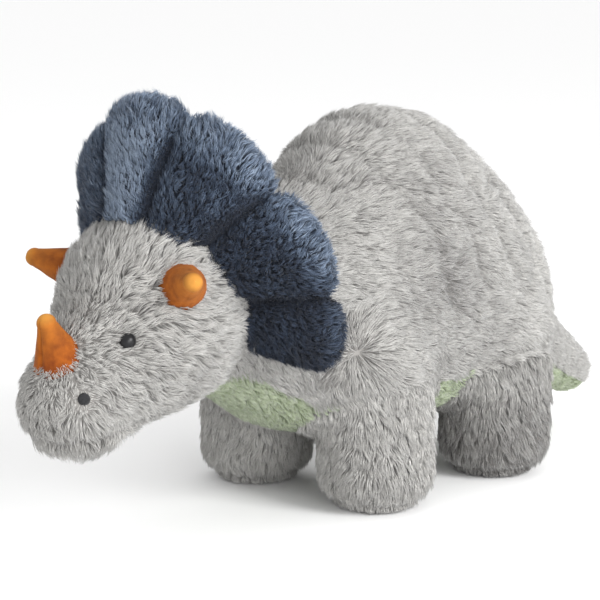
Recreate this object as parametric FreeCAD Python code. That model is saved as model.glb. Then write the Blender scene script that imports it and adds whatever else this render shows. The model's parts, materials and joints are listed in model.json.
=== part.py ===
import FreeCAD, Part
import math
import os
from FreeCAD import Vector

# Stuffed three-horned dinosaur, standing on four legs, in millimetres.
# It faces -Y, its left side is +X and the floor is Z = 0.
# Outer surfaces are the fabric with its pile pressed flat.

# ---- fabric ------------------------------------------------------------------------------
SKIN = 3.0                      # fur fabric with its pressed pile
VELVET = 1.2                    # short velvet of the horns
GAP = 0.5                       # room between two pieces that turn on each other

# ---- torso: (y, half width, lowest z, highest z) of each oval section -----------------------
TORSO_SECTIONS = [
    (-104, 48, 70, 174), (-80, 59, 56, 177), (-50, 71, 48, 192), (-20, 76, 45, 217),
    (10, 76, 45, 231), (40, 76, 45, 230), (70, 77, 45, 220), (100, 74, 47, 200),
    (125, 65, 53, 183), (145, 46, 66, 160), (158, 25, 83, 135), (164, 8, 100, 118),
]
BELLY_PANEL_TOP = 100.0         # highest point of the green panel, at the throat
QUILT_WADDING = 4.0
QUILT_EDGE_Z = 128.0            # the quilted layer stops here on the flanks

# ---- neck -----------------------------------------------------------------------------------
NECK = Vector(0, -118, 130)
NECK_RADIUS = 42.0
NECK_FREE = 6.0                 # the frill keeps this far from the neck

# ---- head: the same four numbers for each section -------------------------------------------
HEAD_SECTIONS = [
    (-247, 6, 82, 98), (-243, 16, 73, 107), (-232, 25, 64, 119), (-218, 29, 62, 139),
    (-200, 37, 66, 166), (-184, 46, 72, 181), (-166, 51, 78, 188), (-148, 50, 82, 187),
    (-132, 47, 84, 182), (-120, 46, 83, 177),
]
CHIN_SEAM = Vector(0, -226, 77)
CHIN_SLOPE = 8.0                # degrees that the chin seam rises towards the neck

# ---- legs -----------------------------------------------------------------------------------
LEG_RADIUS = 33.0
HIP_X, HIP_Z = 48.0, 84.0
FRONT_HIP_Y, HIND_HIP_Y = -26.0, 90.0
FOOT_ROUND = 9.0                # radius of the edge between the sole and the side of a foot
LEG_SWING = 12.0                # degrees, forward and back
LEG_GAP = 1.6                   # room round the ball at the top of a leg
LEG_ROOM = 0.08                 # how much more the torso flares away from a leg than it swings

# ---- tail -----------------------------------------------------------------------------------
TAIL_ROOT = Vector(0, 140, 80)
TAIL_TIP = Vector(0, 234, 40)
TAIL_ROOT_RADIUS, TAIL_TIP_RADIUS = 32.0, 13.0
TAIL_ROOM = (60, 42, 34)        # length, half width and half height of its room in the torso
UNDER_TAIL_DROP = 3.0           # the green panel starts this far below the tail's axis

# ---- face -----------------------------------------------------------------------------------
EYE_RADIUS, EYE_STEM_RADIUS, EYE_STEM_LENGTH = 4.6, 2.0, 13.0
WASHER_RADIUS, WASHER_THICKNESS = 7.0, 1.6
NOSTRIL_RADIUS, NOSTRIL_THICKNESS = 4.2, 1.8
BROW_HORN = dict(base_radius=11.7, tip_radius=4.6, length=36.0)
NOSE_HORN = dict(base_radius=14.0, tip_radius=5.0, length=31.0)

# ---- frill ----------------------------------------------------------------------------------
FRILL_CENTRE_Z = 139.0
FRILL_INNER_RADIUS = 44.0
FRILL_THICKNESS = 11.0
FRILL_EDGE = 4.0                # fabric left round the wadding at the rim
RING_EDGES = (16.5, 50.0, 88.0, 127.0)      # angle of each sewn channel where it meets the head
RIM_EDGES = (16.5, 50.0, 86.0, 112.0)       # angle of the same channel at the rim
NOTCH_RADII = (103.0, 100.0, 97.0, 91.0)    # rim radius at each channel, and at the end
CREST_RADII = (116.0, 109.0, 108.0, 103.0)  # rim radius in the middle of each lobe
STITCH_RADIUS = 0.9

os.makedirs("parts", exist_ok=True)


def save(name, shape):
    """Write one sub-part."""
    shape.exportStep("parts/" + name + ".step")


# ---- shared shapes --------------------------------------------------------------------------
def oval(y, half_width, low, high):
    """Upright ellipse across the body at one y."""
    middle = Vector(0, y, (low + high) / 2)
    top = middle + Vector(0, 0, (high - low) / 2)
    side = middle + Vector(half_width, 0, 0)
    return Part.Wire(Part.Ellipse(top, side, middle).toShape())


def lofted(sections, inset):
    """Solid through the oval sections, drawn in by inset on every side."""
    last = len(sections) - 1
    ovals = []
    for number, (y, half_width, low, high) in enumerate(sections):
        if number == 0:
            y += inset
        if number == last:
            y -= inset
        ovals.append(oval(y, half_width - inset, low + inset, high - inset))
    return Part.makeLoft(ovals, True)


def tapered(start, end, start_radius, end_radius):
    """Cone between two round sections with a ball on its far end."""
    along = end - start
    cone = Part.makeCone(start_radius, end_radius, along.Length, start, along)
    return cone.fuse(Part.makeSphere(end_radius, end)).removeSplitter()


def disc(centre, facing, radius, back, front):
    """Round slab from back to front millimetres along facing."""
    return Part.makeCylinder(radius, front - back, centre + facing * back, facing)


def leaving_point(solid, inside, direction):
    """Where a line from inside the solid comes out of its surface."""
    far = inside + direction * 200
    line = Part.LineSegment(inside, far).toShape().common(solid)
    return max((v.Point for v in line.Vertexes), key=lambda p: (p - inside).Length)


def swing_room(radius, length, wide, deep):
    """Room along +Z for a round-topped piece that swings, flaring to wide by deep."""
    top = Part.Wire(Part.Circle(Vector(0, 0, 0), Vector(0, 0, 1), radius).toShape())
    base = Part.Wire(Part.Ellipse(Vector(0, 0, 0), wide, deep).toShape())
    base.translate(Vector(0, 0, length))
    return Part.makeLoft([top, base], True, True).fuse(Part.makeSphere(radius))


def below(point, slope):
    """Large block under a plane across X that rises by slope degrees towards +Y."""
    block = Part.makeBox(400, 800, 400, Vector(-200, -400, -400))
    block.rotate(Vector(0, 0, 0), Vector(1, 0, 0), slope)
    block.translate(point)
    return block


# ---- torso ----------------------------------------------------------------------------------
def torso_solid(inset):
    """The torso with the ball of its neck, drawn in by inset."""
    neck = Part.makeSphere(NECK_RADIUS - inset, NECK)
    return lofted(TORSO_SECTIONS, inset).fuse(neck)


def hip_positions():
    """Name and hip centre of each leg."""
    for end, y in (("front", FRONT_HIP_Y), ("hind", HIND_HIP_Y)):
        for side, x in (("left", HIP_X), ("right", -HIP_X)):
            yield end + "_" + side, Vector(x, y, HIP_Z)


def swinging_room():
    """Room for the four legs and the tail in the torso."""
    flare = math.tan(math.radians(LEG_SWING)) + LEG_ROOM
    radius = LEG_RADIUS + LEG_GAP
    rooms = []
    for _, hip in hip_positions():
        room = swing_room(radius, HIP_Z, radius + flare * HIP_Z, radius + LEG_ROOM * HIP_Z)
        room.rotate(Vector(0, 0, 0), Vector(0, 0, 1), 90)
        room.rotate(Vector(0, 0, 0), Vector(1, 0, 0), 180)
        room.translate(hip)
        rooms.append(room)
    tail = swing_room(TAIL_ROOT_RADIUS + GAP, *TAIL_ROOM)
    along = TAIL_TIP - TAIL_ROOT
    tail.rotate(Vector(0, 0, 0), Vector(1, 0, 0), -90 + math.degrees(math.atan2(along.z, along.y)))
    tail.translate(TAIL_ROOT)
    return rooms + [tail]


def belly_outline():
    """Prism that holds the green panel under the throat, belly and rump."""
    side = [(30, -165), (38, -118), (47, -90), (45, -76), (28, -60), (16, -26), (30, 10),
            (32, 40), (18, 80), (20, 110), (26, 150), (20, 175)]
    points = [Vector(x, y, 0) for x, y in side]
    mirrored = [Vector(-p.x, p.y, 0) for p in reversed(points)]
    right = Part.BSplineCurve()
    right.interpolate(points)
    left = Part.BSplineCurve()
    left.interpolate(mirrored)
    ends = [Part.makeLine(points[-1], mirrored[0]), Part.makeLine(mirrored[-1], points[0])]
    outline = Part.Wire([right.toShape(), ends[0], left.toShape(), ends[1]])
    return Part.Face(outline).extrude(Vector(0, 0, BELLY_PANEL_TOP))


def make_torso():
    rooms = swinging_room()
    outer, inner = torso_solid(0), torso_solid(SKIN)
    quilted = torso_solid(SKIN + QUILT_WADDING)
    under = below(Vector(0, 0, QUILT_EDGE_Z), 0)
    skin = outer.cut(inner).cut(rooms)
    # The quilted layer covers the back only, so the neck stays unquilted.
    neck_room = Part.makeBox(400, 200, 400, Vector(-200, -284, 0))
    wadding = inner.cut(quilted).cut(under).cut(neck_room)
    # Beside the hind legs the outline also cuts off two crumbs, which stay with the back.
    panel = max(skin.common(belly_outline()).Solids, key=lambda piece: piece.Volume)
    save("torso_back_skin", skin.cut(panel))
    save("belly_panel_skin", panel)
    save("back_quilt_wadding", wadding.cut(rooms))
    save("torso_stuffing", inner.cut(wadding).cut(rooms))


# ---- legs -----------------------------------------------------------------------------------
def leg_solid(hip, inset):
    """Round leg with a domed top, its foot rounded towards the sole."""
    radius = LEG_RADIUS - inset
    rounding = FOOT_ROUND - inset
    turn = math.sqrt(0.5)
    foot = [Vector(0, 0, inset), Vector(radius - rounding, 0, inset)]
    mid_foot = Vector(radius - rounding * (1 - turn), 0, inset + rounding * (1 - turn))
    side = [Vector(radius, 0, inset + rounding), Vector(radius, 0, HIP_Z)]
    crown = Vector(0, 0, HIP_Z + radius)
    profile = Part.Wire([
        Part.makeLine(foot[0], foot[1]),
        Part.Arc(foot[1], mid_foot, side[0]).toShape(),
        Part.makeLine(side[0], side[1]),
        Part.Arc(side[1], Vector(radius * turn, 0, HIP_Z + radius * turn), crown).toShape(),
        Part.makeLine(crown, foot[0]),
    ])
    solid = Part.Face(profile).revolve(Vector(0, 0, 0), Vector(0, 0, 1), 360)
    solid.translate(Vector(hip.x, hip.y, 0))
    return solid


def make_leg(name, hip):
    stuffing = leg_solid(hip, SKIN)
    floor_point = Vector(hip.x, hip.y, 0)
    sole = disc(floor_point, Vector(0, 0, 1), LEG_RADIUS - FOOT_ROUND, 0, SKIN)
    save(name + "_leg_skin", leg_solid(hip, 0).cut(stuffing).cut(sole))
    save(name + "_leg_stuffing", stuffing)
    save(name + "_foot_sole", sole)


# ---- tail -----------------------------------------------------------------------------------
def tail_solid(inset):
    root = Part.makeSphere(TAIL_ROOT_RADIUS - inset, TAIL_ROOT)
    length = tapered(TAIL_ROOT, TAIL_TIP, TAIL_ROOT_RADIUS - inset, TAIL_TIP_RADIUS - inset)
    return root.fuse(length)


def make_tail():
    stuffing = tail_solid(SKIN)
    skin = tail_solid(0).cut(stuffing)
    along = TAIL_TIP - TAIL_ROOT
    slope = math.degrees(math.atan2(along.z, along.y))
    under = below(TAIL_ROOT - Vector(0, 0, UNDER_TAIL_DROP), slope)
    save("tail_upper_skin", skin.cut(under))
    save("tail_under_skin", skin.common(under))
    save("tail_stuffing", stuffing)


# ---- head -----------------------------------------------------------------------------------
def make_eye(head, sign):
    """Domed safety eye on a stem, and the washer that holds it behind the fabric."""
    facing = Vector(0.73 * sign, -0.65, 0.21).normalize()
    seat = leaving_point(head, Vector(0, -200, 118), Vector(31 * sign, -9, 7).normalize())
    stem = disc(seat, facing, EYE_STEM_RADIUS, -EYE_STEM_LENGTH, 0)
    dome = Part.makeSphere(EYE_RADIUS, seat + facing)
    eye = dome.fuse(stem).removeSplitter()
    behind = -SKIN - 2.5
    washer = disc(seat, facing, WASHER_RADIUS, behind - WASHER_THICKNESS, behind)
    return eye, washer.cut(stem)


def make_nostril(head, sign):
    """Pad of black embroidery thread on the side of the snout."""
    facing = Vector(0.8 * sign, -0.57, 0.2).normalize()
    seat = leaving_point(head, Vector(0, -226, 92), Vector(24 * sign, -9, 4).normalize())
    return disc(seat, facing, NOSTRIL_RADIUS, 0.8 - NOSTRIL_THICKNESS, 0.8)


def make_horn(head, base, facing, base_radius, tip_radius, length):
    """Velvet cone with a round tip, standing on the head, and its filling."""
    facing = facing.normalize()
    shapes = []
    for inset in (0, VELVET):
        tip = base + facing * length
        shapes.append(tapered(base, tip, base_radius - inset, tip_radius - inset).cut(head))
    outer, filling = shapes
    return outer.cut(filling), filling


def make_head():
    head, inner = lofted(HEAD_SECTIONS, 0), lofted(HEAD_SECTIONS, SKIN)
    neck_room = Part.makeSphere(NECK_RADIUS + GAP, NECK)
    skin = head.cut(inner).cut(neck_room)
    stuffing = inner.cut(neck_room)
    for side, sign in (("left", 1), ("right", -1)):
        eye, washer = make_eye(head, sign)
        nostril = make_nostril(head, sign)
        skin = skin.cut([eye, nostril])
        stuffing = stuffing.cut([eye, washer])
        brow = make_horn(head, Vector(35 * sign, -172, 149), Vector(25 * sign, -18, 10),
                         **BROW_HORN)
        save("eye_" + side, eye)
        save("eye_washer_" + side, washer)
        save("nostril_" + side, nostril)
        save("brow_horn_skin_" + side, brow[0])
        save("brow_horn_stuffing_" + side, brow[1])
    nose = make_horn(head, Vector(0, -230, 107), Vector(0, -9, 30), **NOSE_HORN)
    save("nose_horn_skin", nose[0])
    save("nose_horn_stuffing", nose[1])
    chin = below(CHIN_SEAM, CHIN_SLOPE)
    save("head_skin", skin.cut(chin))
    save("chin_gusset_skin", skin.common(chin))
    save("head_stuffing", stuffing)
    return head


# ---- frill ----------------------------------------------------------------------------------
def ring_point(angle):
    """Where the frill leaves the head: the ring leans back on its way down."""
    turn = math.radians(angle)
    drop = 1 - math.cos(turn)
    return Vector(FRILL_INNER_RADIUS * math.sin(turn), -183 + 60 * drop - 15 * drop * drop,
                  FRILL_CENTRE_Z + FRILL_INNER_RADIUS * math.cos(turn))


def rim_point(angle, radius):
    """Where the frill ends."""
    turn = math.radians(angle)
    drop = 1 - math.cos(turn)
    return Vector(radius * math.sin(turn), -170 + 68 * drop - 18 * drop * drop,
                  FRILL_CENTRE_Z + radius * math.cos(turn))


def frill_lobes():
    """Ring angles, rim angles, notch radii and crest radius of each of the seven lobes."""
    first = ((-RING_EDGES[0], RING_EDGES[0]), (-RIM_EDGES[0], RIM_EDGES[0]),
             (NOTCH_RADII[0], NOTCH_RADII[0]), CREST_RADII[0])
    lobes = [first]
    for number in range(1, len(CREST_RADII)):
        pair = slice(number - 1, number + 1)
        ring, rim, notch = RING_EDGES[pair], RIM_EDGES[pair], NOTCH_RADII[pair]
        lobes.append((ring, rim, notch, CREST_RADII[number]))
        mirrored = (-ring[1], -ring[0]), (-rim[1], -rim[0]), (notch[1], notch[0])
        lobes.append(mirrored + (CREST_RADII[number],))
    return lobes


def frill_sheet(inset, start, thickness):
    """All seven lobes as one sheet: it starts behind the front face and has this thickness."""
    solids = []
    for ring, rim, notch, crest in frill_lobes():
        inner = Part.Arc(ring_point(ring[0]), ring_point(sum(ring) / 2), ring_point(ring[1]))
        outer = Part.Arc(rim_point(rim[0], notch[0] - inset),
                         rim_point(sum(rim) / 2, crest - inset),
                         rim_point(rim[1], notch[1] - inset))
        face = Part.makeRuledSurface(inner.toShape(), outer.toShape())
        face.translate(Vector(0, start, 0))
        solids.append(face.extrude(Vector(0, thickness, 0)))
    return solids[0].fuse(solids[1:]).removeSplitter()


def channel_stitches():
    """Thread along the six channels between the lobes, on the front of the frill."""
    threads = []
    for ring, rim, notch in zip(RING_EDGES[:3], RIM_EDGES[:3], NOTCH_RADII[:3]):
        for sign in (1, -1):
            start = ring_point(sign * ring)
            along = rim_point(sign * rim, notch) - start
            threads.append(Part.makeCylinder(STITCH_RADIUS, along.Length, start, along))
    return threads


def make_frill(head):
    half = FRILL_THICKNESS / 2
    head = head.fuse(Part.makeSphere(NECK_RADIUS + NECK_FREE, NECK))
    wadding = frill_sheet(FRILL_EDGE, SKIN, FRILL_THICKNESS - 2 * SKIN).cut(head)
    threads = [thread.cut(head) for thread in channel_stitches()]
    save("frill_front_skin", frill_sheet(0, 0, half).cut(head).cut(wadding).cut(threads))
    save("frill_back_skin", frill_sheet(0, half, half).cut(head).cut(wadding))
    save("frill_wadding", wadding)
    save("frill_channel_stitches", Part.makeCompound(threads))


def main():
    make_torso()
    for name, hip in hip_positions():
        make_leg(name, hip)
    make_tail()
    make_frill(make_head())


main()
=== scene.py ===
import json
import math
import bpy
import numpy as np
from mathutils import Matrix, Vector


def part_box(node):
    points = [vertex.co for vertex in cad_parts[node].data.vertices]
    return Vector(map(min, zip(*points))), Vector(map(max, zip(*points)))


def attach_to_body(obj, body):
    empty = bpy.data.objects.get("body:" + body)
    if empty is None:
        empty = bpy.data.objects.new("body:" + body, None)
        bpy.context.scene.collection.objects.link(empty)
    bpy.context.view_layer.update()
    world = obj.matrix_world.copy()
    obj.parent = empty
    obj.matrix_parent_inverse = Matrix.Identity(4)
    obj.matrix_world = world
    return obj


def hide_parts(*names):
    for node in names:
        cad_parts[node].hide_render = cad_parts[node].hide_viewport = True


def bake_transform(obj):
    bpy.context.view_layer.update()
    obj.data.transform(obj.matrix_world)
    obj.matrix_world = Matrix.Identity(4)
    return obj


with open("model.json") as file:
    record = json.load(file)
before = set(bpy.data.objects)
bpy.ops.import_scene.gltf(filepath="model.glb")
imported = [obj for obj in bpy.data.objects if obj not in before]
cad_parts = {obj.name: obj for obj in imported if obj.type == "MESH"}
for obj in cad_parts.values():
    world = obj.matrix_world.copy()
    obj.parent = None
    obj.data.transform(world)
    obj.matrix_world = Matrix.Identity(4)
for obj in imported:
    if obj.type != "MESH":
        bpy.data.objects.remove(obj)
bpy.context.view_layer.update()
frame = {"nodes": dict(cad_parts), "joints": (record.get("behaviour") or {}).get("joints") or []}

# Stuffed three-horned dinosaur. It faces -Y, its left side is +X. Shapes are worked out in
# millimetres from the frame's joints and boxes, and turned into metres when a mesh is made.
MM = 0.001
JOINTS = {joint["name"]: joint for joint in frame["joints"]}


def joint_place(name):
    """A joint's pivot, in millimetres."""
    return np.array(JOINTS[name]["pos_m"]) / MM


def node_box(node):
    """Lowest and highest corner of a CAD node, in millimetres."""
    low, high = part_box(node)
    return np.array(low) / MM, np.array(high) / MM


SIDES = {"left": 1, "right": -1}
LEGS = ("front_left", "front_right", "hind_left", "hind_right")
HIPS = {leg: joint_place(leg + "_leg_swing") for leg in LEGS}
TAIL_ROOT = joint_place("tail_wag")
HEAD_LOW, HEAD_HIGH = node_box("head_skin")
TORSO_LOW, TORSO_HIGH = node_box("torso_back_skin")

# ---- driving sizes, millimetres -----------------------------------------------------------
PILE_DEPTH = 3.8                # the outline with fur stands this far off the fabric
GRID = 2.6                      # cell of the grid that the fabric surfaces are found on

# Stuffed shapes: ellipsoids by centre and radii, round tapered limbs by their two ends.
HUMP = dict(centre=(0, 29, 138), radii=(78, 89, 99), pitch=-6)
CHEST = dict(centre=(0, -32, 104), radii=(70, 62, 62))
RUMP = dict(centre=(0, 98, 104), radii=(72, 63, 71))
NECK_LIMB = dict(start=(0, -44, 110), end=(0, -124, 130), start_radius=58, end_radius=50)
TAIL_TIP = TAIL_ROOT + np.array([0, 94, -41])
TAIL_LIMB = dict(start=TAIL_ROOT + (0, -4, 4), end=TAIL_TIP, start_radius=42, end_radius=19)
SKULL = dict(centre=(0, -157, 138), radii=(54, 52, 55))
SNOUT = dict(start=(0, -172, 122), end=(0, -220, 90), start_radius=43, end_radius=33)
THIGH_RADIUS = {"front": 36, "hind": 39}
FOOT_RADIUS = 36
FOOT_Z = 26
BELLY_Z = 40.0                  # the belly is trimmed flat at this height

LEG_TILT = np.array([0.41, 0, -0.91])      # the legs leave the torso at this slope
LEG_PLANE_Z = 66.0              # height of the hip seam at the leg's axis
LEG_REACH = 47.0                # the skin this near to a leg's axis belongs to the leg
TAIL_BEND = (5.0, 50.0)         # the tail's skin starts at the first of these distances from its root
NECK_BEND = (-92.0, -128.0)     # the neck's skin starts at the first of these places along Y
NECK_END_Y = -136.0             # the neck's skin ends here, inside the head

QUILT_DEPTH = 3.2               # how far each kind of seam pulls the fabric in
TACK_DEPTH = 7.0
SEAM_DEPTH = 2.4
CHIN_SEAM_DEPTH = 1.6
CHIN_SLOPE = 8.0                # slope of the chin seam, degrees
SOLE_SEAM_Z = 9.0
SHOULDER_TACK = np.array([71.0, -64.0, 101.0])     # stitched dimple of the left shoulder
TACK_REACH = 9.0


# ---- distance fields ----------------------------------------------------------------------
def ellipsoid(points, centre, radii, pitch=0.0):
    """Distance to an ellipsoid whose long side is tipped by pitch degrees about X."""
    offset = points - np.array(centre, np.float32)
    turn = math.radians(pitch)
    y = offset[..., 1] * math.cos(turn) + offset[..., 2] * math.sin(turn)
    z = offset[..., 2] * math.cos(turn) - offset[..., 1] * math.sin(turn)
    offset = np.stack([offset[..., 0], y, z], -1)
    radii = np.array(radii, np.float32)
    near = np.linalg.norm(offset / radii, axis=-1)
    steep = np.linalg.norm(offset / radii**2, axis=-1)
    return near * (near - 1) / np.maximum(steep, 1e-6)


def capsule(points, start, end, start_radius, end_radius):
    """Distance to a round tapered limb."""
    start = np.array(start, np.float32)
    along = np.array(end, np.float32) - start
    length2 = float(along @ along)
    offset = points - start
    share = np.clip((offset @ along) / length2, 0, 1)
    radius = start_radius + (end_radius - start_radius) * share
    return np.linalg.norm(offset - share[..., None] * along, axis=-1) - radius


def join(a, b, softness):
    """Smooth union of two distance fields."""
    overlap = np.maximum(softness - np.abs(a - b), 0) / softness
    return np.minimum(a, b) - overlap * overlap * softness * 0.25


def trim(a, b, softness):
    """Smooth intersection of two distance fields."""
    return -join(-a, -b, softness)


def torso_field(points):
    """Distance to the outline of the torso, neck, tail and legs, fur included."""
    shape = ellipsoid(points, **HUMP)
    shape = join(shape, ellipsoid(points, **CHEST), softness=50)
    shape = join(shape, ellipsoid(points, **RUMP), softness=60)
    shape = join(shape, capsule(points, **NECK_LIMB), softness=40)
    shape = trim(shape, BELLY_Z - points[..., 2], softness=16)
    shape = join(shape, capsule(points, **TAIL_LIMB), softness=34)
    for leg, hip in HIPS.items():
        side = math.copysign(1, hip[0])
        top = (hip[0] - side, hip[1], hip[2] + 8)
        foot = (hip[0] + 2 * side, hip[1], FOOT_Z)
        thigh_radius = THIGH_RADIUS[leg.split("_")[0]]
        shape = join(shape, capsule(points, top, foot, thigh_radius, FOOT_RADIUS), softness=11)
    return shape


def groove_nearness(points, lean, spacing, width, shift):
    """1 on the lines of a family of parallel seams over the back, 0 away from them."""
    along, up = math.cos(lean), math.sin(lean)
    wander = 3.2 * np.sin(points[..., 2] / 15 + points[..., 1] / 31) + 1.8 * np.sin(points[..., 2] / 7)
    place = (points[..., 1] * along + points[..., 2] * up + wander + shift) / spacing
    distance = np.abs((place + 0.5) % 1 - 0.5) * spacing
    return np.exp(-(distance / width) ** 2)


def quilting(points):
    """How strongly the quilting seams of the back pull a place in, from 0 to 1."""
    y, z = points[..., 1], points[..., 2]
    front = 0.3 * ease(y, -92, -55) + 0.7 * ease(y, -50, 30)
    region = ease(z, 96, 140) * front * (1 - ease(y, 140, 170))
    seams = groove_nearness(points, lean=math.radians(20), spacing=29, width=4.4, shift=6)
    counter = groove_nearness(points, lean=math.radians(-58), spacing=54, width=4.0, shift=12)
    slack = 0.72 + 0.28 * np.sin(y / 19 + 1) * np.sin(z / 23 + points[..., 0] / 27)
    return region * slack * np.maximum(seams, 0.6 * counter)


def leg_share(place, leg):
    """How far below the hip seam a place lies, and how far from the leg's axis."""
    hip = HIPS[leg]
    side = math.copysign(1, hip[0])
    offset = place - np.array([hip[0], hip[1], LEG_PLANE_Z])
    below = offset @ (LEG_TILT * [side, 1, 1])
    aside = np.linalg.norm(offset[..., :2], axis=-1)
    return below, aside


def leg_seams(points):
    """1 on the seams round the soles and where the hind legs are sewn on, 0 away from them."""
    seams = np.exp(-((points[..., 2] - SOLE_SEAM_Z) / 2.0) ** 2)
    for leg in ("hind_left", "hind_right"):
        below, aside = leg_share(points, leg)
        seams = np.maximum(seams, np.exp(-((below + 4) / 3) ** 2) * (1 - ease(aside, 46, 56)))
    return seams


def tack(points, centre, reach):
    """1 at a stitched dimple and at its mirror image, fading to 0 within a few reaches."""
    offset = points - np.array(centre, np.float32)
    offset[..., 0] = np.abs(points[..., 0]) - centre[0]
    return np.exp(-((offset / reach) ** 2).sum(-1))


def head_field(points):
    """Distance to the outline of the head, fur included."""
    return join(ellipsoid(points, **SKULL), capsule(points, **SNOUT), softness=30)


def chin_seam(points):
    """1 on the seam between the head and the chin gusset."""
    rear_edge = node_box("chin_gusset_skin")[1]
    slope = math.tan(math.radians(CHIN_SLOPE))
    height = points[..., 2] - (rear_edge[2] + (points[..., 1] - rear_edge[1]) * slope)
    return np.exp(-(height / 2.2) ** 2) * (1 - ease(points[..., 1], -165, -140))


# ---- numbers that vary smoothly over the surface ------------------------------------------
def lattice(cells, seed):
    """A fixed random number in 0..1 for each whole-number cell, by mixing bits with primes."""
    mixed = (cells[..., 0].astype(np.int64) * 73856093) ^ (cells[..., 1].astype(np.int64) * 19349663)
    mixed = mixed ^ (cells[..., 2].astype(np.int64) * 83492791) ^ (seed * 2654435761)
    mixed = (mixed ^ (mixed >> 13)) * 1274126177
    return ((mixed ^ (mixed >> 16)) & 0xFFFFFF) / float(0x1000000)


def lattice_vector(cells, seed):
    """Three fixed random numbers in 0..1 for each whole-number cell."""
    return np.stack([lattice(cells, seed + k) for k in range(3)], 1)


def noise(points, size, seed):
    """Smooth noise from -1 to 1 with bumps of this size."""
    scaled = points / size
    cell = np.floor(scaled).astype(np.int64)
    part = scaled - cell
    part = part * part * (3 - 2 * part)
    total = np.zeros(points.shape[:-1])
    for corner in np.ndindex(2, 2, 2):
        weight = np.ones(points.shape[:-1])
        for axis in range(3):
            weight *= part[..., axis] if corner[axis] else 1 - part[..., axis]
        total += weight * lattice(cell + np.array(corner), seed)
    return total * 2 - 1


def drift(points, size, seed):
    """A smooth random vector for each place."""
    return np.stack([noise(points, size, seed + k) for k in range(3)], 1)


def ease(value, low, high):
    """0 below low, 1 above high, smooth between."""
    share = np.clip((value - low) / (high - low), 0, 1)
    return share * share * (3 - 2 * share)


# ---- meshes -------------------------------------------------------------------------------
def surface(field, low, high, cell):
    """Quads where a field is zero: one vertex in each grid cell that the surface crosses."""
    axes = [np.arange(a, b + cell, cell, dtype=np.float32) for a, b in zip(low, high)]
    values = field(np.stack(np.meshgrid(*axes, indexing="ij"), -1))
    inside = values < 0
    size = [count - 1 for count in values.shape]
    crossed = np.zeros(size, np.int8)
    for i, j, k in np.ndindex(2, 2, 2):
        crossed += inside[i:i + size[0], j:j + size[1], k:k + size[2]]
    cells = np.argwhere((crossed > 0) & (crossed < 8))
    number = -np.ones(size, np.int64)
    number[tuple(cells.T)] = np.arange(len(cells))
    total, count = np.zeros((len(cells), 3)), np.zeros(len(cells))
    for axis in range(3):
        for u, v in np.ndindex(2, 2):
            near = np.insert([u, v], axis, 0)
            far = np.insert([u, v], axis, 1)
            a = values[tuple((cells + near).T)]
            b = values[tuple((cells + far).T)]
            cut = (a < 0) != (b < 0)
            share = np.where(cut, a / np.where(cut, a - b, 1), 0)
            place = np.tile(near.astype(float), (len(cells), 1))
            place[:, axis] += share
            total[cut] += place[cut]
            count[cut] += 1
    vertices = (cells + total / count[:, None]) * cell + np.array(low)
    quads = []
    for axis in range(3):
        b, c = (axis + 1) % 3, (axis + 2) % 3
        first = np.take(inside, range(values.shape[axis] - 1), axis)
        second = np.take(inside, range(1, values.shape[axis]), axis)
        edges = np.argwhere(first != second)
        keep = (edges[:, b] > 0) & (edges[:, c] > 0) & (edges[:, b] < size[b]) & (edges[:, c] < size[c])
        edges = edges[keep]
        corners = []
        for back_b, back_c in ((1, 1), (0, 1), (0, 0), (1, 0)):
            corner = edges.copy()
            corner[:, b] -= back_b
            corner[:, c] -= back_c
            corners.append(number[tuple(corner.T)])
        quad = np.stack(corners, 1)
        outward = first[tuple(edges.T)]
        quad[~outward] = quad[~outward][:, ::-1]
        quads.append(quad)
    return vertices, np.concatenate(quads)


def quad_crosses(vertices, quads):
    """For each quad, a vector along its normal and twice its area long."""
    across = vertices[quads[:, 2]] - vertices[quads[:, 0]]
    down = vertices[quads[:, 3]] - vertices[quads[:, 1]]
    return np.cross(across, down)


def vertex_normals(vertices, quads):
    """Vertex normals, weighted by the size of the quads round each vertex."""
    facing = quad_crosses(vertices, quads)
    total = np.zeros_like(vertices)
    for corner in range(4):
        np.add.at(total, quads[:, corner], facing)
    return total / np.maximum(np.linalg.norm(total, axis=1, keepdims=True), 1e-9)


def part_of(vertices, normals, quads, keep):
    """The faces that keep picks, with only their own vertices."""
    quads = quads[keep]
    used, place = np.unique(quads, return_inverse=True)
    return vertices[used], normals[used], place.reshape(quads.shape)


def new_object(name, vertices, loops, sizes, material, uv=None):
    """Object from millimetre vertices, face corners and the number of corners of each face."""
    mesh = bpy.data.meshes.new(name)
    mesh.vertices.add(len(vertices))
    mesh.vertices.foreach_set("co", (vertices * MM).astype(np.float32).ravel())
    mesh.loops.add(len(loops))
    mesh.loops.foreach_set("vertex_index", loops.astype(np.int32))
    mesh.polygons.add(len(sizes))
    starts = np.concatenate([[0], np.cumsum(sizes)[:-1]])
    mesh.polygons.foreach_set("loop_start", starts.astype(np.int32))
    mesh.polygons.foreach_set("use_smooth", np.ones(len(sizes), bool))
    if uv is not None:
        layer = mesh.uv_layers.new(name="OFBake")
        layer.uv.foreach_set("vector", uv[loops].astype(np.float32).ravel())
    mesh.update(calc_edges=True)
    mesh.validate()
    mesh.materials.append(material)
    piece = bpy.data.objects.new(name, mesh)
    bpy.context.scene.collection.objects.link(piece)
    return piece


def quad_object(name, vertices, quads, material):
    return new_object(name, vertices, quads.ravel(), np.full(len(quads), 4), material)


# ---- materials ----------------------------------------------------------------------------
def new_material(name):
    material = bpy.data.materials.new(name)
    material.use_nodes = True
    tree = material.node_tree
    return material, tree, tree.nodes["Principled BSDF"]


def ramp(tree, stops, value):
    """Colour ramp through (place, colour) stops."""
    node = tree.nodes.new("ShaderNodeValToRGB")
    elements = node.color_ramp.elements
    while len(elements) < len(stops):
        elements.new(0.5)
    for element, (place, colour) in zip(elements, stops):
        element.position = place
        element.color = (*colour, 1)
    tree.links.new(value, node.inputs["Fac"])
    return node.outputs["Color"]


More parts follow.
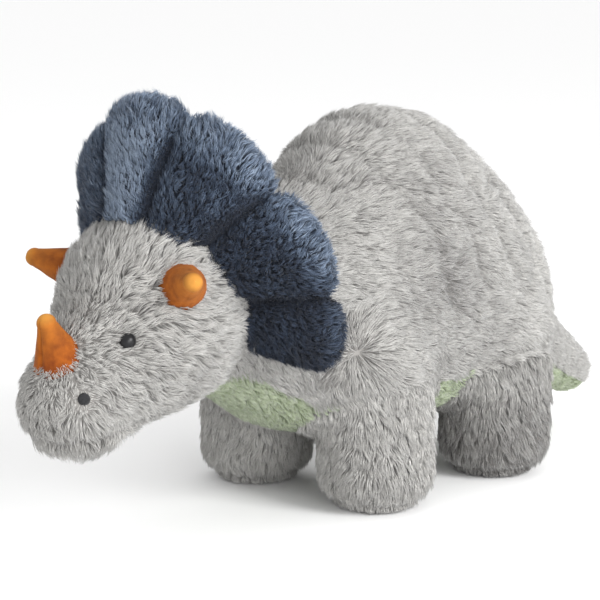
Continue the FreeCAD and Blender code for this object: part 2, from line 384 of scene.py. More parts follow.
def fur_material(name, tones, root_shade, tip_shade, sheen):
    """Fibre colour: u of the map picks the fibre's tone, v runs from its root to its tip."""
    material, tree, shader = new_material(name)
    place = tree.nodes.new("ShaderNodeUVMap")
    place.uv_map = "OFBake"
    split = tree.nodes.new("ShaderNodeSeparateXYZ")
    tree.links.new(place.outputs["UV"], split.inputs["Vector"])
    tone = ramp(tree, tones, split.outputs["X"])
    shade = ramp(tree, [(0.0, (root_shade,) * 3), (0.45, (0.5 * (root_shade + tip_shade),) * 3),
                        (1.0, (tip_shade,) * 3)], split.outputs["Y"])
    mix = tree.nodes.new("ShaderNodeMix")
    mix.data_type = "RGBA"
    mix.blend_type = "MULTIPLY"
    mix.inputs["Factor"].default_value = 1.0
    tree.links.new(tone, mix.inputs["A"])
    tree.links.new(shade, mix.inputs["B"])
    tree.links.new(mix.outputs["Result"], shader.inputs["Base Color"])
    shader.inputs["Roughness"].default_value = 0.7
    shader.inputs["Specular IOR Level"].default_value = 0.25
    shader.inputs["Sheen Weight"].default_value = sheen
    shader.inputs["Sheen Roughness"].default_value = 0.5
    return material


NAP_SCALE = 1800                # bumps of the cloth's nap in one metre
NAP_HEIGHT = 0.0004             # metres


def cloth_material(name, dark, light, size, bump, sheen):
    """Fabric with mottled colour and a fine raised nap."""
    material, tree, shader = new_material(name)
    place = tree.nodes.new("ShaderNodeTexCoord")
    mottle = tree.nodes.new("ShaderNodeTexNoise")
    mottle.inputs["Scale"].default_value = 1 / size
    mottle.inputs["Detail"].default_value = 6
    tree.links.new(place.outputs["Object"], mottle.inputs["Vector"])
    colour = ramp(tree, [(0.3, dark), (0.7, light)], mottle.outputs["Fac"])
    tree.links.new(colour, shader.inputs["Base Color"])
    nap = tree.nodes.new("ShaderNodeTexNoise")
    nap.inputs["Scale"].default_value = NAP_SCALE
    nap.inputs["Detail"].default_value = 3
    tree.links.new(place.outputs["Object"], nap.inputs["Vector"])
    raised = tree.nodes.new("ShaderNodeBump")
    raised.inputs["Strength"].default_value = bump
    raised.inputs["Distance"].default_value = NAP_HEIGHT
    tree.links.new(nap.outputs["Fac"], raised.inputs["Height"])
    tree.links.new(raised.outputs["Normal"], shader.inputs["Normal"])
    shader.inputs["Roughness"].default_value = 0.85
    shader.inputs["Sheen Weight"].default_value = sheen
    return material


def velvet_material(name, dark, light, painted_highlight):
    """Velvet with a mottled pile, paler where its "tip" attribute is high: painted light up the horn and
    a painted highlight at its tip.
    """
    material = cloth_material(name, dark, light, size=0.006, bump=0.6, sheen=0.08)
    tree = material.node_tree
    shader = tree.nodes["Principled BSDF"]
    mottled = shader.inputs["Base Color"].links[0].from_socket
    tip = tree.nodes.new("ShaderNodeAttribute")
    tip.attribute_name = "tip"
    mix = tree.nodes.new("ShaderNodeMix")
    mix.data_type = "RGBA"
    mix.inputs["B"].default_value = (*painted_highlight, 1)
    tree.links.new(tip.outputs["Fac"], mix.inputs["Factor"])
    tree.links.new(mottled, mix.inputs["A"])
    tree.links.new(mix.outputs["Result"], shader.inputs["Base Color"])
    shader.inputs["Specular IOR Level"].default_value = 0.2
    shader.inputs["Sheen Tint"].default_value = (1, 0.55, 0.2, 1)
    return material


def plain_material(name, colour, roughness, specular=0.5):
    material, _, shader = new_material(name)
    shader.inputs["Base Color"].default_value = (*colour, 1)
    shader.inputs["Roughness"].default_value = roughness
    shader.inputs["Specular IOR Level"].default_value = specular
    return material


GREY_TONES = [(0.0, (0.15, 0.141, 0.133)), (0.3, (0.36, 0.35, 0.335)),
              (0.65, (0.53, 0.518, 0.496)), (1.0, (0.66, 0.648, 0.622))]
GREEN_TONES = [(0.0, (0.26, 0.32, 0.18)), (0.5, (0.47, 0.545, 0.36)), (1.0, (0.62, 0.69, 0.50))]
BLUE_TONES = [(0.0, (0.014, 0.020, 0.036)), (0.35, (0.040, 0.060, 0.102)),
              (0.7, (0.14, 0.19, 0.275)), (1.0, (0.34, 0.42, 0.54))]
GREY = fur_material("grey_fur", GREY_TONES, root_shade=0.55, tip_shade=1.0, sheen=0.35)
GREEN = fur_material("green_fur", GREEN_TONES, root_shade=0.55, tip_shade=1.0, sheen=0.3)
BLUE = fur_material("blue_fur", BLUE_TONES, root_shade=0.35, tip_shade=1.0, sheen=0.12)
# The grey backing is darker than the grey fur, as painted shade in the gaps between the fibres.
GREY_CLOTH = cloth_material("grey_backing", (0.17, 0.162, 0.153), (0.27, 0.26, 0.247),
                            size=0.012, bump=0.5, sheen=0.05)
GREEN_CLOTH = cloth_material("green_backing", (0.15, 0.19, 0.10), (0.23, 0.28, 0.16),
                             size=0.01, bump=0.5, sheen=0.05)
BLUE_CLOTH = cloth_material("blue_backing", (0.012, 0.017, 0.028), (0.03, 0.04, 0.065),
                            size=0.01, bump=0.5, sheen=0.02)
THREAD = cloth_material("black_thread", (0.005, 0.005, 0.006), (0.018, 0.018, 0.021),
                        size=0.0015, bump=0.8, sheen=0.1)
# The paler colour is painted light: a painted highlight for the horns' tips.
ORANGE = velvet_material("orange_velvet", dark=(0.15, 0.026, 0.002), light=(0.32, 0.08, 0.006),
                         painted_highlight=(0.56, 0.27, 0.05))
BLACK = plain_material("black_plastic", (0.008, 0.008, 0.009), roughness=0.3, specular=0.3)


# ---- fur ----------------------------------------------------------------------------------
def scatter(vertices, normals, quads, count, random):
    """Random places on the faces, evenly over the area, with their normals."""
    triangles = np.concatenate([quads[:, [0, 1, 2]], quads[:, [0, 2, 3]]])
    a, b, c = (vertices[triangles[:, k]] for k in range(3))
    area = np.linalg.norm(np.cross(b - a, c - a), axis=1)
    pick = random.choice(len(triangles), count, p=area / area.sum())
    share = random.random((count, 2))
    flip = share.sum(1) > 1
    share[flip] = 1 - share[flip]
    u, v = share[:, :1], share[:, 1:]
    corner = triangles[pick]
    place = vertices[corner[:, 0]] * (1 - u - v) + vertices[corner[:, 1]] * u + vertices[corner[:, 2]] * v
    normal = normals[corner[:, 0]] * (1 - u - v) + normals[corner[:, 1]] * u + normals[corner[:, 2]] * v
    return place, normal / np.linalg.norm(normal, axis=1, keepdims=True)


def tuft_of(place, cell, seed):
    """The nearest tuft centre to each place: one jittered centre in each cell of a lattice."""
    base = np.floor(place / cell).astype(np.int64)
    best = np.full(len(place), 1e9)
    centre = np.zeros_like(place)
    tuft = np.zeros_like(base)
    for step in np.ndindex(3, 3, 3):
        spot = base + np.array(step) - 1
        jitter = lattice_vector(spot, seed)
        candidate = (spot + jitter) * cell
        distance = np.linalg.norm(candidate - place, axis=1)
        nearer = distance < best
        best[nearer] = distance[nearer]
        centre[nearer] = candidate[nearer]
        tuft[nearer] = spot[nearer]
    return centre, tuft


def unit(vectors):
    return vectors / np.maximum(np.linalg.norm(vectors, axis=-1, keepdims=True), 1e-9)


def along_surface(vectors, normal):
    """The part of each vector that lies in the surface."""
    return vectors - (vectors * normal).sum(1, keepdims=True) * normal


TONE_WIDTH = 0.006              # share of the tone map that one fibre takes up
FIBRE_CORNERS = 7               # three at the root, three at the bend, one at the tip
ROOT_DEPTH = 0.4                # millimetres of fibre inside the fabric
FLOOR_GAP = 0.15                # no fibre comes nearer to the floor than this, millimetres


def strands(name, root, normal, comb, length, lift, width, tuft_size, gather, ruffle, tone,
            material, seed):
    """Tapered three-sided fibres, growing from root along normal.

    comb is the way they lie and lift how far they stand up (0..1). length, width and tuft_size
    are millimetres. gather (0..1) pulls the tips of a tuft together, ruffle turns whole tufts
    aside, and tone (0..1) picks the colour.
    """
    random = np.random.default_rng(seed)
    count = len(root)
    comb = unit(along_surface(comb, normal))
    centre, tuft = tuft_of(root, tuft_size, seed)
    turn = (lattice_vector(tuft, seed + 10) * 2 - 1) * ruffle
    comb = unit(comb + turn + random.normal(0, 0.12, (count, 3)))
    comb = unit(along_surface(comb, normal))
    lift = np.clip(lift * (0.75 + 0.5 * lattice(tuft, seed + 20)), 0.05, 1)[:, None]
    length = length * (0.8 + 0.4 * random.random(count)) * (0.85 + 0.3 * lattice(tuft, seed + 30))
    length = length[:, None]
    start = unit(normal * (lift + 0.25) + comb * (1 - lift))
    finish = unit(normal * lift * 0.55 + comb)
    bend = root + start * length * 0.5
    tip = bend + finish * length * 0.5
    # Fibres of a tuft lean towards the line through the tuft's centre.
    inward = along_surface(centre - root, normal)
    bend = bend + inward * gather * 0.35
    tip = tip + inward * gather
    base = root - normal * ROOT_DEPTH
    along = unit(bend - base)
    side = unit(np.cross(along, random.normal(0, 1, (count, 3))))
    other = np.cross(along, side)
    width = (width * (0.7 + 0.6 * random.random(count)))[:, None]
    ring = []
    for middle, scale in ((base, 0.5), (bend, 0.42)):
        for k in range(3):
            turn = 2 * math.pi * k / 3
            ring.append(middle + (side * math.cos(turn) + other * math.sin(turn)) * width * scale)
    vertices = np.stack(ring + [tip], 1)
    vertices[..., 2] = np.maximum(vertices[..., 2], FLOOR_GAP)
    first = (np.arange(count) * FIBRE_CORNERS)[:, None]
    quads = np.array([[0, 1, 4, 3], [1, 2, 5, 4], [2, 0, 3, 5]]).ravel()
    tips = np.array([[3, 4, 6], [4, 5, 6], [5, 3, 6]]).ravel()
    loops = np.concatenate([first + quads, first + tips], 1).ravel()
    sizes = np.tile([4, 4, 4, 3, 3, 3], count)
    tone = tone + (lattice(tuft, seed + 40) - 0.5) * 0.25 + random.normal(0, 0.1, count)
    tone = np.clip(tone, 0.02, 0.98)
    uv = np.empty((count, FIBRE_CORNERS, 2))
    uv[..., 0] = tone[:, None] + np.array([-1, 0, 1, -1, 0, 1, 0]) * TONE_WIDTH
    uv[..., 1] = np.array([0.02, 0.02, 0.02, 0.5, 0.5, 0.5, 0.98])
    return new_object(name, vertices.reshape(-1, 3), loops, sizes, material, uv.reshape(-1, 2))


FUR_CHUNK = 21000               # fibres in one piece


def furred(name, skin, count, look, material, attach, seed):
    """Fur over a skin, in as many pieces as its number of fibres needs."""
    random = np.random.default_rng(seed)
    place, normal = scatter(*skin, count, random)
    order = np.argsort(place[:, 1])
    chunks = max(1, math.ceil(count / FUR_CHUNK))
    for number, chosen in enumerate(np.array_split(order, chunks)):
        title = name if chunks == 1 else f"{name}_{number + 1}"
        settings = look(place[chosen])
        piece = strands(title, place[chosen], normal[chosen], material=material, seed=seed, **settings)
        attach(piece)


# ---- combing ------------------------------------------------------------------------------
# Each look function gives, for places on a skin, what strands() wants to know about the fibres.
TRIMMED = {kind + side: reach for kind, reach in (("eye_", 2), ("nostril_", 3)) for side in SIDES}
TRIM_FADE = 6                   # the fur is whole again this far outside a trimmed spot
NOSE_BRIDGE = np.array([0.0, -236.0, 116.0])    # the fur of the face is combed away from here
MID_BODY_Y = 32                 # between the front and the hind legs


def torso_look(place):
    comb = np.tile([0.0, 1.0, -0.3], (len(place), 1))
    neck = ease(-place[:, 1], 60, 110)[:, None]
    comb = comb * (1 - neck) + np.array([0.0, 0.6, -0.8]) * neck
    # The fur runs outward from the stitched dimple of each shoulder.
    away = place * [0, 1, 1] - SHOULDER_TACK
    away[:, 0] += np.abs(place[:, 0])
    near = 1 - ease(np.linalg.norm(away, axis=1), 8, 44)
    away[:, 0] *= np.sign(place[:, 0])
    comb = comb * (1 - 0.8 * near[:, None]) + unit(away) * near[:, None]
    seam = quilting(place)
    comb = comb + 0.42 * drift(place, 15, 50)
    # Painted light and shade in the tone: paler towards the rear is painted light, darker on the flank is
    # painted shade, and darker along the quilting seams is painted shade in the seams; the noise is the
    # fur's own uneven tone.
    rear = ease(place[:, 1], 20, 130)
    flank_shade = np.exp(-((place[:, 1] - 8) / 38) ** 2 - ((place[:, 2] - 134) / 46) ** 2)
    tone = 0.54 + 0.16 * rear + 0.13 * noise(place, 26, 3) - 0.18 * seam - 0.24 * flank_shade
    return dict(comb=comb, length=9.5 - 3.0 * seam, lift=0.28 - 0.08 * seam, width=0.46, tuft_size=5.0,
                gather=0.36, ruffle=0.22, tone=tone)


def leg_look(place):
    comb = np.tile([0.0, 0.15, -1.0], (len(place), 1))
    low = 1 - ease(place[:, 2], 0, 22)
    comb = comb + 0.4 * drift(place, 14, 60)
    seam = leg_seams(place)
    # The tone is darker along the sole and hip seams: painted shade in the seams.
    tone = 0.6 + 0.12 * noise(place, 22, 4) - 0.15 * seam
    hind = place[:, 1] > MID_BODY_Y
    # Painted light on the front legs and painted shade on the hind legs, strongest low down.
    tone += 0.16 - hind * (0.5 - 0.3 * ease(place[:, 2], 40, 66))
    return dict(comb=comb, length=(9.0 - 4.0 * low) * (1 - 0.4 * seam), lift=0.36, width=0.46,
                tuft_size=5.5, gather=0.42, ruffle=0.3, tone=tone)


def bare(place):
    """How much of the fur's length is left round the eyes and nostrils."""
    left = np.ones(len(place))
    for node, reach in TRIMMED.items():
        low, high = node_box(node)
        away = np.linalg.norm(place - (low + high) / 2, axis=1)
        left = np.minimum(left, 0.12 + 0.88 * ease(away, reach, reach + TRIM_FADE))
    return left


def head_look(place):
    comb = unit(place - NOSE_BRIDGE) + np.array([0.0, 0.0, -0.25])
    fine = 1 - ease(np.linalg.norm(place - NOSE_BRIDGE, axis=1), 18, 60)
    comb = comb + 0.6 * drift(place, 11, 70)
    seam = chin_seam(place)
    # The tone is darker along the chin seam: painted shade in the seam; the noise is the fur's own uneven
    # tone.
    tone = 0.63 + 0.16 * noise(place, 9, 5) + 0.1 * noise(place, 30, 6) - 0.16 * seam
    return dict(comb=comb, length=(9.8 - 4.2 * fine) * bare(place) * (1 - 0.35 * seam), lift=0.42,
                width=0.44, tuft_size=4.6, gather=0.36, ruffle=0.5, tone=tone)


def belly_look(place):
    comb = np.tile([0.0, 1.0, -0.1], (len(place), 1))
    tone = 0.5 + 0.2 * noise(place, 12, 7)
    return dict(comb=comb, length=5.0, lift=0.45, width=0.5, tuft_size=5.0,
                gather=0.5, ruffle=0.4, tone=tone)


def frill_look(place):
    comb = np.stack([place[:, 0], np.zeros(len(place)), place[:, 2] - FRILL_CENTRE_Z], 1)
    reach = np.linalg.norm(comb, axis=1)
    rim = ease(reach, 88, 103)
    turn = np.degrees(np.arctan2(place[:, 0], place[:, 2] - FRILL_CENTRE_Z))
    aside = np.abs(turn[:, None] - np.array(CHANNEL_ANGLES)).min(1) * reach * math.pi / 180
    channel = np.exp(-(aside / 4.0) ** 2) * (1 - 0.5 * rim)
    centre = 1 - ease(np.abs(turn), 8, 16)
    # Painted light and shade in the frill's tone: paler at the rim is a painted sheen, darker in the
    # stitched channels is painted shade, and paler down the middle lobe is a painted highlight.
    tone = 0.2 + 0.12 * noise(place, 14, 8) + 0.55 * rim - 0.36 * channel + 0.56 * centre * (1 - rim)
    # Paler towards the top is painted light, and darker low down is painted shade.
    tone += (0.2 * ease(place[:, 2], 168, 205) - 0.14 * (1 - ease(place[:, 2], 100, 170))) * (1 - rim)
    # Painted light: paler on the lobes of the right side (-X).
    tone += 0.14 * ease(-place[:, 0], 12, 34)
    comb = unit(comb) + 0.7 * drift(place, 9, 80)
    return dict(comb=comb, length=7.0 - 4.4 * channel, lift=0.68, width=0.45, tuft_size=2.8,
                gather=0.3, ruffle=0.4, tone=tone)


# ---- body ---------------------------------------------------------------------------------
def torso_fabric(points):
    """Distance to the fabric of the torso, legs and tail, under the fur."""
    field = torso_field(points) + PILE_DEPTH + QUILT_DEPTH * quilting(points)
    field = field + TACK_DEPTH * tack(points, SHOULDER_TACK, TACK_REACH) + SEAM_DEPTH * leg_seams(points)
    soles = 1.0 - points[..., 2]
    return trim(field, soles, softness=6)


def green_height(y):
    """Highest point of the green panel along the body."""
    return np.interp(y, [-124, -88, -72, -60, 60, 150, 240], [97, 78, 70, 70, 74, 74, 30])


def make_body():
    """Vertices, normals and quads of each part of the body's fabric, by part and colour."""
    low = TORSO_LOW - [16, 16, 0]
    low[2] = -4
    high = np.array([-low[0], TAIL_TIP[1] + 22, TORSO_HIGH[2] + 12])
    vertices, quads = surface(torso_fabric, low, high, GRID)
    normals = vertex_normals(vertices, quads)
    middle = vertices[quads].mean(1)
    taken = middle[:, 1] < NECK_END_Y
    along = unit(TAIL_TIP - TAIL_ROOT)
    parts = {}
    for leg in LEGS:
        below, aside = leg_share(middle, leg)
        parts[leg + "_leg"] = (below > 0) & (aside < LEG_REACH) & ~taken
        taken |= parts[leg + "_leg"]
    tail_distance = (middle - TAIL_ROOT) @ along
    parts["tail"] = (tail_distance > TAIL_BEND[0]) & ~taken
    taken |= parts["tail"]
    parts["neck"] = (middle[:, 1] < NECK_BEND[0]) & ~taken
    parts["torso"] = ~(taken | parts["neck"])
    green = middle[:, 2] < green_height(middle[:, 1])
    tail_green = (middle - TAIL_ROOT) @ np.cross(along, [1, 0, 0]) > 7
    result = {}
    for name, keep in parts.items():
        if name.endswith("leg"):
            result[name, "grey"] = part_of(vertices, normals, quads, keep)
            continue
        panel = tail_green if name == "tail" else green
        result[name, "grey"] = part_of(vertices, normals, quads, keep & ~panel)
        result[name, "green"] = part_of(vertices, normals, quads, keep & panel)
    return result


def attach_leg():
    """A function that bakes a piece's placement into its mesh, leaving it tied to no body."""

    def attach(piece):
        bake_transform(piece)
    return attach


def attach_tail():
    """A function that bakes a piece's placement into its mesh, leaving it tied to no body."""

    def attach(piece):
        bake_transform(piece)
    return attach


def attach_neck():
    """A function that bakes a piece's placement into its mesh, leaving it tied to no body."""

    def attach(piece):
        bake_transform(piece)
    return attach


def attach_to(body):
    """A function that ties a piece to one body."""
    def attach(piece):
        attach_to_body(piece, body)
    return attach


def area_of(skin):
    vertices, _, quads = skin
    return np.linalg.norm(quad_crosses(vertices, quads), axis=1).sum() / 2


GREY_DENSITY = 1.5              # fibres for each square millimetre
GREEN_DENSITY = 1.6
BLUE_DENSITY = 1.9


def dress(name, skin, cloth, fur, look, density, attach, nodes, seed):
    """A fabric piece that stands for CAD nodes, and the fur on it."""
    vertices, _, quads = skin
    fabric = quad_object(name, vertices, quads, cloth)
    attach(fabric)
    if nodes:
        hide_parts(*nodes)
    furred(name + "_fur", skin, int(area_of(skin) * density), look, fur, attach, seed)


body = make_body()
dress("back_skin", body["torso", "grey"], GREY_CLOTH, GREY, torso_look, GREY_DENSITY,
      attach_to("torso"),
      ["torso_back_skin", "torso_stuffing", "back_quilt_wadding"], 11)
dress("belly_panel", body["torso", "green"], GREEN_CLOTH, GREEN, belly_look, GREEN_DENSITY,
      attach_to("torso"), ["belly_panel_skin"], 12)
dress("neck_skin", body["neck", "grey"], GREY_CLOTH, GREY, torso_look, GREY_DENSITY,
      attach_neck(), [], 13)
dress("throat_panel", body["neck", "green"], GREEN_CLOTH, GREEN, belly_look, GREEN_DENSITY,
      attach_neck(), [], 14)
dress("tail_top", body["tail", "grey"], GREY_CLOTH, GREY, torso_look, GREY_DENSITY,
      attach_tail(), ["tail_upper_skin", "tail_stuffing"], 15)
dress("tail_under", body["tail", "green"], GREEN_CLOTH, GREEN, belly_look, GREEN_DENSITY,
      attach_tail(), ["tail_under_skin"], 16)
for number, leg in enumerate(LEGS):
    nodes = [leg + suffix for suffix in ("_leg_skin", "_leg_stuffing", "_foot_sole")]
    dress(leg + "_limb", body[leg + "_leg", "grey"], GREY_CLOTH, GREY, leg_look, GREY_DENSITY,
          attach_leg(), nodes, 20 + number)

# ---- head ---------------------------------------------------------------------------------
vertices, quads = surface(lambda p: head_field(p) + PILE_DEPTH + CHIN_SEAM_DEPTH * chin_seam(p),
                          HEAD_LOW - [10, 12, 12], HEAD_HIGH + [10, 12, 12], GRID)
head_skin = vertices, vertex_normals(vertices, quads), quads
dress("head_fabric", head_skin, GREY_CLOTH, GREY, head_look, GREY_DENSITY,
      attach_to("head"), ["head_skin", "chin_gusset_skin", "head_stuffing"], 30)

# ---- frill --------------------------------------------------------------------------------
LOBES = 7
LOBE_ROWS = 26                  # rows of the frill's mesh in one lobe
OUT_ROWS = 30                   # rows from the head to the rim
FRILL_CENTRE_Z = 139.0          # height of the ring's centre
FRILL_SHIFT_Y = 5.5
RING_RADIUS = 44.0              # the frill leaves the head on this circle
HALF_THICKNESS = 9.5            # at the middle of a lobe, before the filling swells it
FRILL_GROWTH = 5.0              # the filling blows the cloth up by no more than this
PRESSURE = 4                    # of the filling on the cloth
CLOTH_FRAMES = 16               # steps of the simulation
# Edges of the lobes in degrees round the head, and radii at the edges and at the lobes' crests.
RING_EDGES = np.array([-127, -88, -50, -16.5, 16.5, 50, 88, 127])
RIM_EDGES = np.array([-115, -86, -50, -16.5, 16.5, 50, 86, 115])
NOTCH_RADII = np.array([78, 83, 89, 99, 103, 96, 89, 83])
CREST_RADII = np.array([85, 91, 97, 112, 111, 105, 95])
CHANNEL_ANGLES = (-88, -50, -16.5, 16.5, 50, 87)


def frill_middle(across, out):
    """Middle surface of the frill: across counts lobes from 0 to 7, out runs from head to rim."""
    lobe = np.clip(np.floor(across).astype(int), 0, LOBES - 1)
    part = across - lobe
    edges = range(LOBES + 1)
    ring_turn = np.radians(np.interp(across, edges, RING_EDGES))
    rim_turn = np.radians(np.interp(across, edges, RIM_EDGES))
    notch = np.interp(across, edges, NOTCH_RADII)
    bulge = CREST_RADII[lobe] - np.interp(lobe + 0.5, edges, NOTCH_RADII)
    rim_radius = notch + bulge * np.sqrt(np.clip(1 - (2 * part - 1) ** 2, 0, 1))
    ring_drop, rim_drop = 1 - np.cos(ring_turn), 1 - np.cos(rim_turn)
    ring = np.stack([RING_RADIUS * np.sin(ring_turn), -183 + 60 * ring_drop - 15 * ring_drop**2,
                     FRILL_CENTRE_Z + RING_RADIUS * np.cos(ring_turn)], -1)
    rim = np.stack([rim_radius * np.sin(rim_turn), -170 + 68 * rim_drop - 18 * rim_drop**2,
                    FRILL_CENTRE_Z + rim_radius * np.cos(rim_turn)], -1)
    return ring + (rim - ring) * out[..., None] + np.array([0, FRILL_SHIFT_Y, 0])


def frill_mesh():
    """Vertices and quads of the frill's two faces, and which vertices lie on a seam."""
    lobes = np.linspace(0, LOBES, LOBES * LOBE_ROWS + 1)
    outs = np.sin(np.linspace(0, math.pi / 2, OUT_ROWS))
    across, out = np.meshgrid(lobes, outs, indexing="ij")
    middle = frill_middle(across, out)
    facing = unit(np.cross(np.gradient(middle, axis=1), np.gradient(middle, axis=0)))
    facing *= -np.sign(facing[..., 1:2])
    part = across - np.clip(np.floor(across), 0, LOBES - 1)
    pillow = 0.3 + 0.7 * np.sqrt(np.clip(np.sin(math.pi * part), 0, 1))
    ends = np.sqrt(np.clip(np.minimum(across, LOBES - across) / 0.15, 0, 1))
    closing = np.sqrt(np.clip(1 - out**6, 0, 1)) * ends
    half = HALF_THICKNESS * pillow * closing * (1 + 0.15 * noise(middle, 25, 31))
    front = middle + facing * half[..., None]
    back = middle - facing * half[..., None]
    grid = np.concatenate([front, back[:, -2::-1]], 1)
    vertices = grid.reshape(-1, 3)
    rows, wide = grid.shape[:2]
    i, j = np.meshgrid(range(rows - 1), range(wide - 1), indexing="ij")
    corner = (i * wide + j).ravel()
    quads = np.stack([corner, corner + wide, corner + wide + 1, corner + 1], 1)
    row, column = np.divmod(np.arange(rows * wide), wide)
    sewn = (row % LOBE_ROWS == 0) | (column == 0) | (column == wide - 1)
    return vertices, quads, sewn


def inflated(vertices, quads, sewn, most):
    """The cloth blown up by its filling: sewn vertices stay, the others move by up to most mm."""
    cloth = quad_object("frill_cloth", vertices, quads, BLUE_CLOTH)
    seams = cloth.vertex_groups.new(name="seams")
    seams.add([int(k) for k in np.flatnonzero(sewn)], 1.0, "REPLACE")
    modifier = cloth.modifiers.new("cloth", "CLOTH")
    settings = modifier.settings
    settings.vertex_group_mass = "seams"
    settings.use_pressure = True
    settings.uniform_pressure_force = PRESSURE
    settings.effector_weights.gravity = 0
    scene = bpy.context.scene
    for step in range(1, CLOTH_FRAMES + 1):
        scene.frame_set(step)
    result = cloth.evaluated_get(bpy.context.evaluated_depsgraph_get()).data
    blown = np.empty(len(vertices) * 3, np.float32)
    result.vertices.foreach_get("co", blown)
    scene.frame_set(1)
    bpy.data.objects.remove(cloth)
    moved = blown.reshape(-1, 3) / MM - vertices
    reach = np.linalg.norm(moved, axis=1, keepdims=True)
    return vertices + moved * np.minimum(1, most / np.maximum(reach, 1e-6))


vertices, quads, sewn = frill_mesh()
vertices = inflated(vertices, quads, sewn, FRILL_GROWTH)
frill = vertices, vertex_normals(vertices, quads), quads
dress("frill_fabric", frill, BLUE_CLOTH, BLUE, frill_look, BLUE_DENSITY,
      attach_to("head"),
      ["frill_front_skin", "frill_back_skin", "frill_wadding", "frill_channel_stitches"], 40)


# ---- horns --------------------------------------------------------------------------------
def horn(name, base, tip, base_radius, tip_radius, crease, nodes):
    """Velvet cone with a round tip and a puckered seam, crease deep, down its front."""
    base, tip = np.array(base, float), np.array(tip, float)
    axis = unit(tip - base)
    side = unit(np.cross(axis, [0.0, 0.3, 1.0]))
    other = np.cross(axis, side)
    length = np.linalg.norm(tip - base)
    rows, columns = 60, 120
    seam_turn, seam_width, pucker_width = math.pi / 2, 0.11, 0.5
    vertices, painted_highlight = [], []
    for row in range(rows):
        share = row / (rows - 1)
        reach = share * (length + tip_radius)
        cone = tip_radius + (base_radius - tip_radius) * max(1 - reach / length, 0) ** 1.15
        if reach > length - tip_radius * 0.2:
            over = (reach - length) / tip_radius
            cone = tip_radius * math.sqrt(max(1 - max(over, 0) ** 2, 0)) + 0.02
        for column in range(columns):
            turn = 2 * math.pi * column / columns
            seam = math.exp(-((turn - seam_turn) / seam_width) ** 2)
            pucker = 0.25 * math.sin(reach / 1.4) * math.exp(-((turn - seam_turn) / pucker_width) ** 2)
            dent = 0.35 * math.sin(2.3 * turn + reach / 6) * math.sin(reach / 5 + 1)
            radius = cone + (dent + pucker - crease * seam) * min(cone / base_radius, 1)
            outward = side * math.cos(turn) + other * math.sin(turn)
            vertices.append(base + axis * reach + outward * radius)
            # Painted light: the velvet gets paler up the horn, with a painted highlight at the rounded
            # tip.
            painted_highlight.append(0.25 * share**2 + 0.5 * max(0.0, (share - 0.84) / 0.16) ** 1.5)
    vertices = np.array(vertices)
    i, j = np.meshgrid(range(rows - 1), range(columns), indexing="ij")
    next_j = (j + 1) % columns
    quads = np.stack([i * columns + j, i * columns + next_j, (i + 1) * columns + next_j,
                      (i + 1) * columns + j], -1).reshape(-1, 4)
    piece = quad_object(name, vertices, quads, ORANGE)
    piece.data.attributes.new("tip", "FLOAT", "POINT").data.foreach_set("value", painted_highlight)
    attach_to("head")(piece)
    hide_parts(*nodes)


horn("nose_horn", base=(0, -229, 108), tip=(0, -240, 135), base_radius=17.8, tip_radius=5.4,
     crease=2.4, nodes=["nose_horn_skin", "nose_horn_stuffing"])
for side, sign in SIDES.items():
    horn("brow_horn_" + side, base=(32.5 * sign, -173.5, 149.3), tip=(65 * sign, -193, 159),
         base_radius=18.8, tip_radius=5.4, crease=0.5,
         nodes=["brow_horn_skin_" + side, "brow_horn_stuffing_" + side])


# ---- eyes and nostrils --------------------------------------------------------------------
def head_normal(place):
    """The way the head's surface faces at a place."""
    steps = np.eye(3) * 0.5
    return unit(np.array([(head_field(place + step) - head_field(place - step)) for step in steps]))


def satin_pad(name, centre, facing, wide, tall, nodes):
    """Oval of embroidery: threads laid side by side, highest in the middle."""
    across = unit(np.cross(facing, [0.0, 0.0, 1.0]))
    up = np.cross(across, facing)
    thread_radius, steps, sides = 0.32, 12, 8
    bulge = 1.5
    vertices, quads = [], []
    for offset in np.arange(-tall / 2, tall / 2 + 0.01, thread_radius * 1.5):
        half = wide / 2 * math.sqrt(max(1 - (2 * offset / tall) ** 2, 0)) + 0.3
        first = len(vertices)
        for step in range(steps):
            share = 2 * step / (steps - 1) - 1
            crown = bulge * math.sqrt(max(1 - share**2 * 0.9 - (2 * offset / tall) ** 2 * 0.5, 0))
            middle = centre + across * half * share + up * offset + facing * (crown - 0.2)
            for k in range(sides):
                turn = 2 * math.pi * k / sides
                vertices.append(middle + (up * math.cos(turn) + facing * math.sin(turn)) * thread_radius)
        for step in range(steps - 1):
            for k in range(sides):
                a, b = first + step * sides + k, first + step * sides + (k + 1) % sides
                quads.append((a, b, b + sides, a + sides))
        end = first + (steps - 1) * sides
        for k in (0, 2, 4):
            quads.append([first + (k + turn) % sides for turn in (2, 1, 0)] + [first + (k + 3) % sides])
            quads.append([end + (k + turn) % sides for turn in (0, 1, 2)] + [end + (k + 3) % sides])
    piece = quad_object(name, np.array(vertices), np.array(quads), THREAD)
    attach_to("head")(piece)
    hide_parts(*nodes)


for side in SIDES:
    eye_materials = frame["nodes"]["eye_" + side].data.materials
    eye_materials.clear()
    eye_materials.append(BLACK)
    low, high = node_box("nostril_" + side)
    place = (low + high) / 2
    facing = head_normal(place)
    place = place - facing * (head_field(place) + PILE_DEPTH)
    satin_pad("nostril_pad_" + side, place, facing, wide=6.2, tall=6.4, nodes=["nostril_" + side])


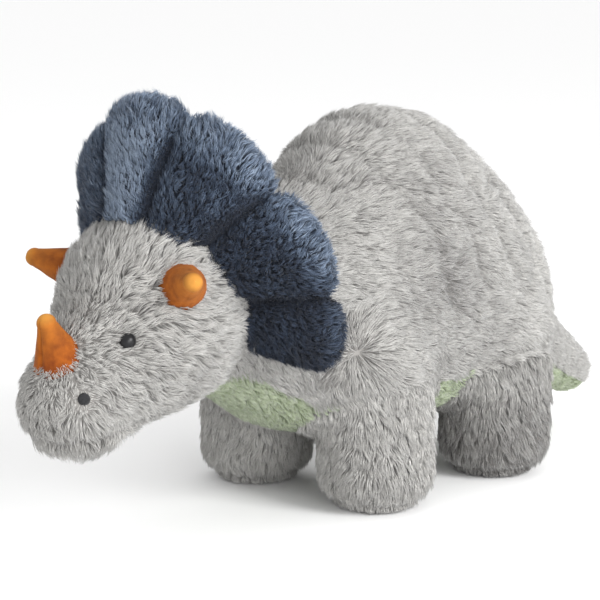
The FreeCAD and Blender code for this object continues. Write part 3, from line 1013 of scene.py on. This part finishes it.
# ---- stage, lights and camera -------------------------------------------------------------
FLOOR_REACH = 12.0              # metres from the middle to each side


def plain_floor():
    mesh = bpy.data.meshes.new("floor")
    corners = [(x * FLOOR_REACH, y * FLOOR_REACH, 0) for x, y in ((-1, -1), (1, -1), (1, 1), (-1, 1))]
    mesh.from_pydata(corners, [], [(0, 1, 2, 3)])
    floor = bpy.data.objects.new("floor", mesh)
    bpy.context.scene.collection.objects.link(floor)
    mesh.materials.append(plain_material("floor_paper", (0.96, 0.96, 0.96), roughness=0.9))


def area_light(name, place, aim, size, power):
    light = bpy.data.lights.new(name, "AREA")
    light.size = size
    light.energy = power
    lamp = bpy.data.objects.new(name, light)
    lamp.location = place
    lamp.rotation_euler = (Vector(aim) - Vector(place)).to_track_quat("-Z", "Y").to_euler()
    bpy.context.scene.collection.objects.link(lamp)


SENSOR_WIDTH = 36               # millimetres, like the lens


def set_camera(azimuth, elevation, distance, target, lens):
    data = bpy.data.cameras.new("camera")
    data.lens = lens
    data.sensor_width = SENSOR_WIDTH
    camera = bpy.data.objects.new("camera", data)
    turn, rise = math.radians(azimuth), math.radians(elevation)
    back = Vector((math.sin(turn) * math.cos(rise), -math.cos(turn) * math.cos(rise), math.sin(rise)))
    camera.location = Vector(target) + back * distance
    camera.rotation_euler = (-back).to_track_quat("-Z", "Y").to_euler()
    bpy.context.scene.collection.objects.link(camera)
    bpy.context.scene.camera = camera


plain_floor()
world = bpy.data.worlds.new("studio")
world.use_nodes = True
background = world.node_tree.nodes["Background"]
background.inputs["Color"].default_value = (1, 1, 1, 1)
background.inputs["Strength"].default_value = 1.0
bpy.context.scene.world = world
area_light("key", place=(1.8, 0.1, 1.0), aim=(0, 0, 0.12), size=0.9, power=36)
area_light("fill", place=(1.9, -0.9, 0.35), aim=(0, 0, 0.1), size=1.0, power=20)
bpy.context.scene.view_settings.view_transform = "Standard"
set_camera(azimuth=43, elevation=10, distance=1.3, target=(-0.0155, -0.023, 0.118), lens=125.82)
